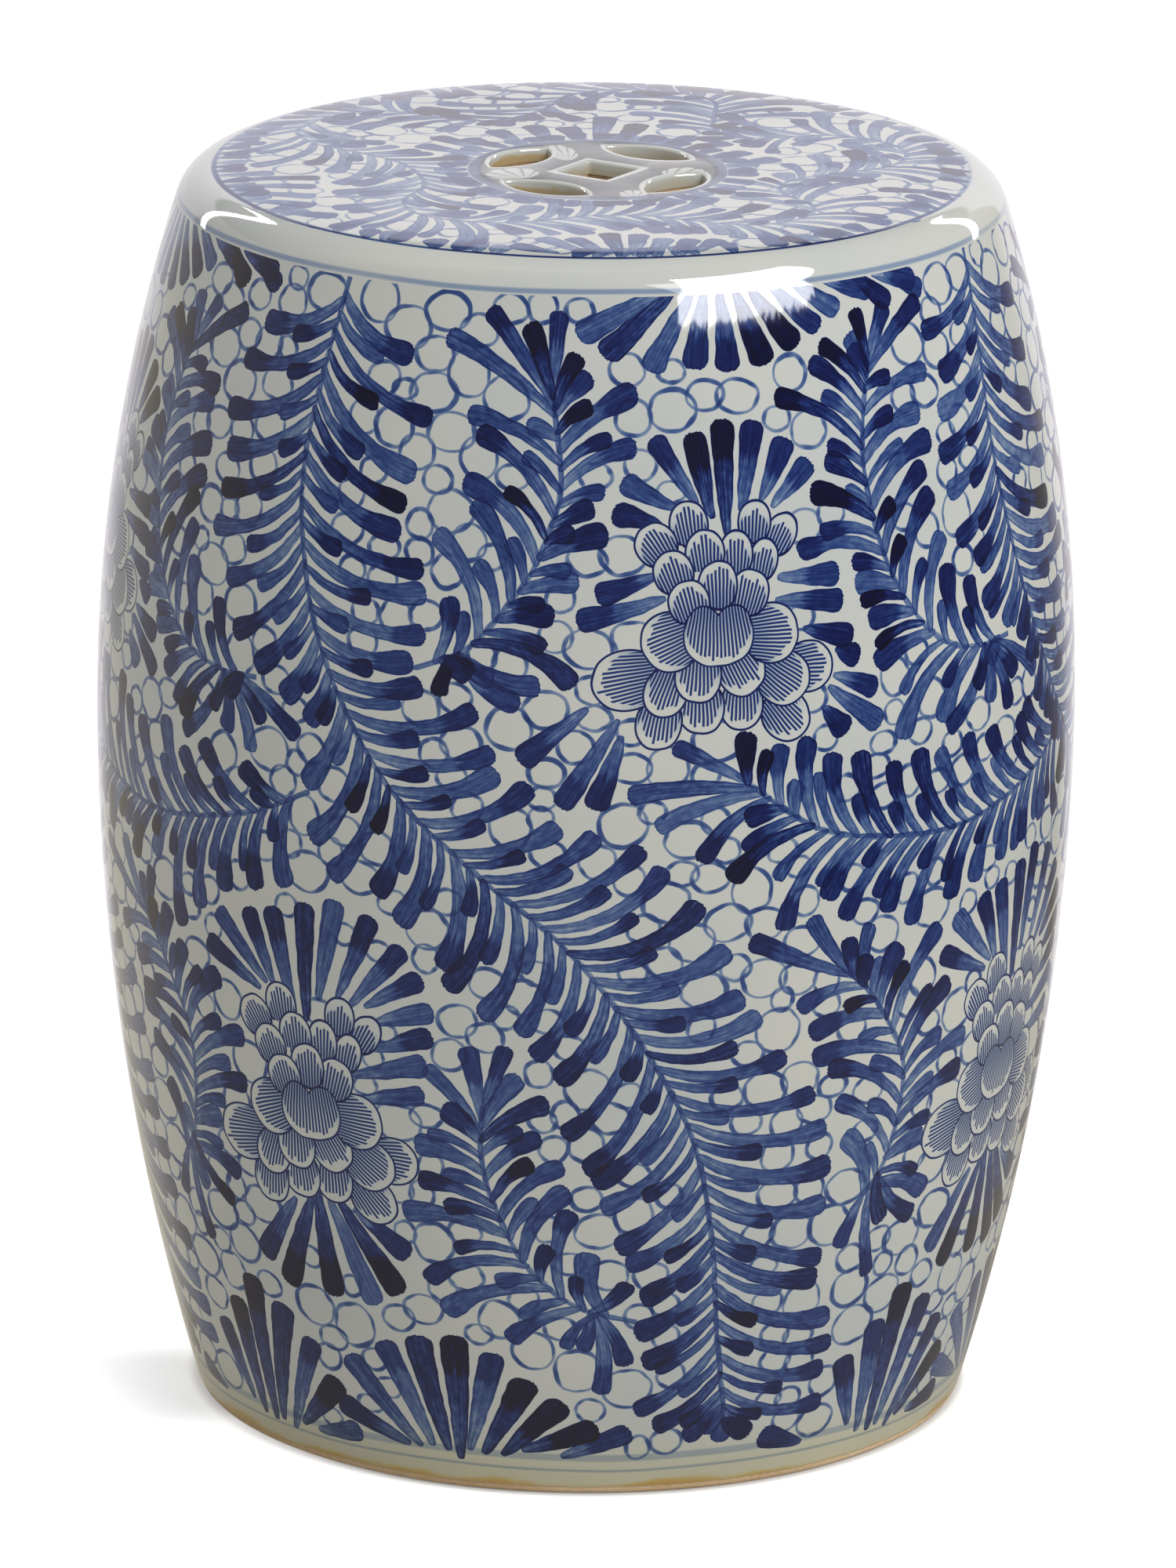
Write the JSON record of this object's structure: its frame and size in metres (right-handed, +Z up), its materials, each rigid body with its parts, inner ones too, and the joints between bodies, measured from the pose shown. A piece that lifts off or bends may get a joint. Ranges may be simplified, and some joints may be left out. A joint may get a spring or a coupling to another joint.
{
  "type": "garden stool",
  "caption": "Barrel-shaped hollow ceramic garden stool with a flat pierced seat, rounded shoulder, bulging painted wall and bare foot rim.",
  "frame": {"origin": "middle of the foot, on the floor", "axes": "+Z up along the barrel's axis, -Y towards the side that the picture shows"},
  "size_m": [0.3559, 0.356, 0.457],
  "materials": {
    "clay": "bare fired stoneware, tan and slightly rough",
    "slip": "fired joining slip, matt",
    "painted_glaze": "glossy clear glaze over hand-painted cobalt blue on a grey-white ground",
    "plain_glaze": "glossy grey-white glaze"
  },
  "bodies": {
    "root": {"seat_slab": "clay", "upper_barrel": "clay", "lower_barrel": "clay", "foot_ring": "clay", "seat_seam_slip": "slip", "belly_seam_slip": "slip", "foot_seam_slip": "slip", "seat_seam_coil": "clay", "belly_seam_band": "clay", "seat_glaze": "painted_glaze", "wall_glaze": "painted_glaze", "lens_hole_glaze": "plain_glaze", "square_hole_glaze": "plain_glaze"}
  },
  "joints": []
}
